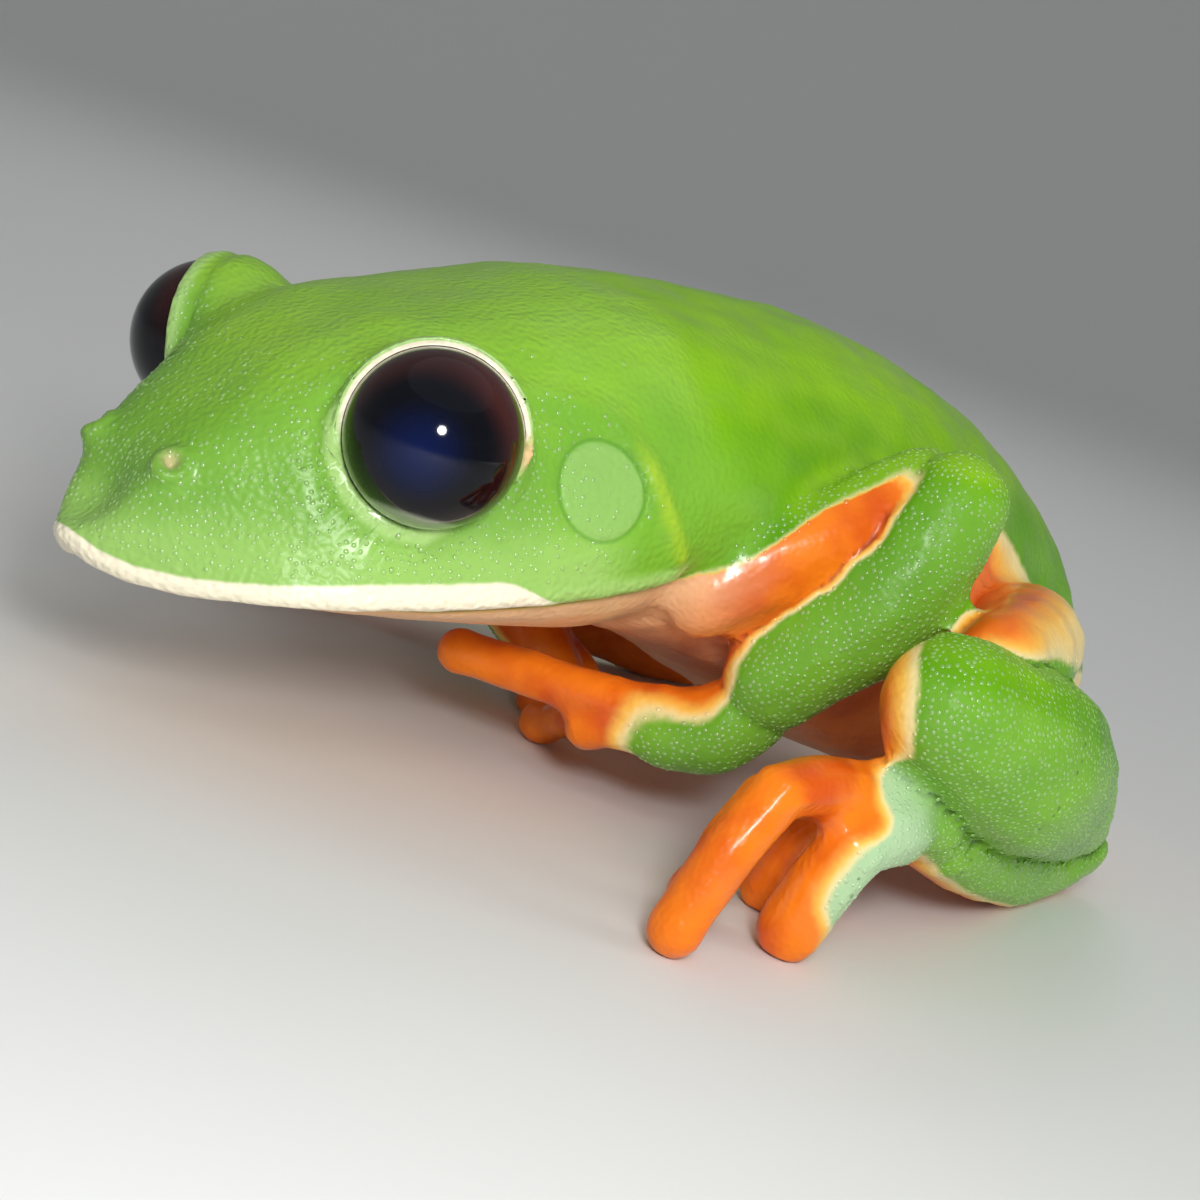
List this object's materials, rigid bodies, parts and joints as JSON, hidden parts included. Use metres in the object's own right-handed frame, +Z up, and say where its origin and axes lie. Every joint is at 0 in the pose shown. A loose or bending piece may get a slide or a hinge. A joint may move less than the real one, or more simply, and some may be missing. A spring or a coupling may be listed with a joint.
{
  "type": "black-eyed green tree frog",
  "caption": "Still life-size model of a crouching green tree frog with large black eyes, orange flanks, inner limbs, fingers and toes, and a cream upper lip.",
  "frame": {"origin": "middle of the bounding box, at floor level", "axes": "-X is the way the snout points, -Y is the frog's left side, +Z is up; +X runs along the longest extent"},
  "size_m": [0.0624, 0.0512, 0.0226],
  "materials": {
    "green_skin": "moist, finely granular green skin with a soft sheen",
    "pale_skin": "pale cream to orange throat skin",
    "orange_skin": "moist smooth orange skin",
    "eye": "clear glossy black eye with a deep blue middle"
  },
  "bodies": {
    "root": {"head": "green_skin", "lower_jaw": "pale_skin", "torso": "green_skin", "eye_left": "eye", "eye_right": "eye", "upper_arm_left": "orange_skin", "forearm_left": "green_skin", "hand_left": "orange_skin", "thigh_left": "orange_skin", "shank_left": "green_skin", "tarsus_left": "green_skin", "foot_left": "orange_skin", "upper_arm_right": "orange_skin", "forearm_right": "green_skin", "hand_right": "orange_skin", "thigh_right": "orange_skin", "shank_right": "green_skin", "tarsus_right": "green_skin", "foot_right": "orange_skin"}
  },
  "joints": []
}
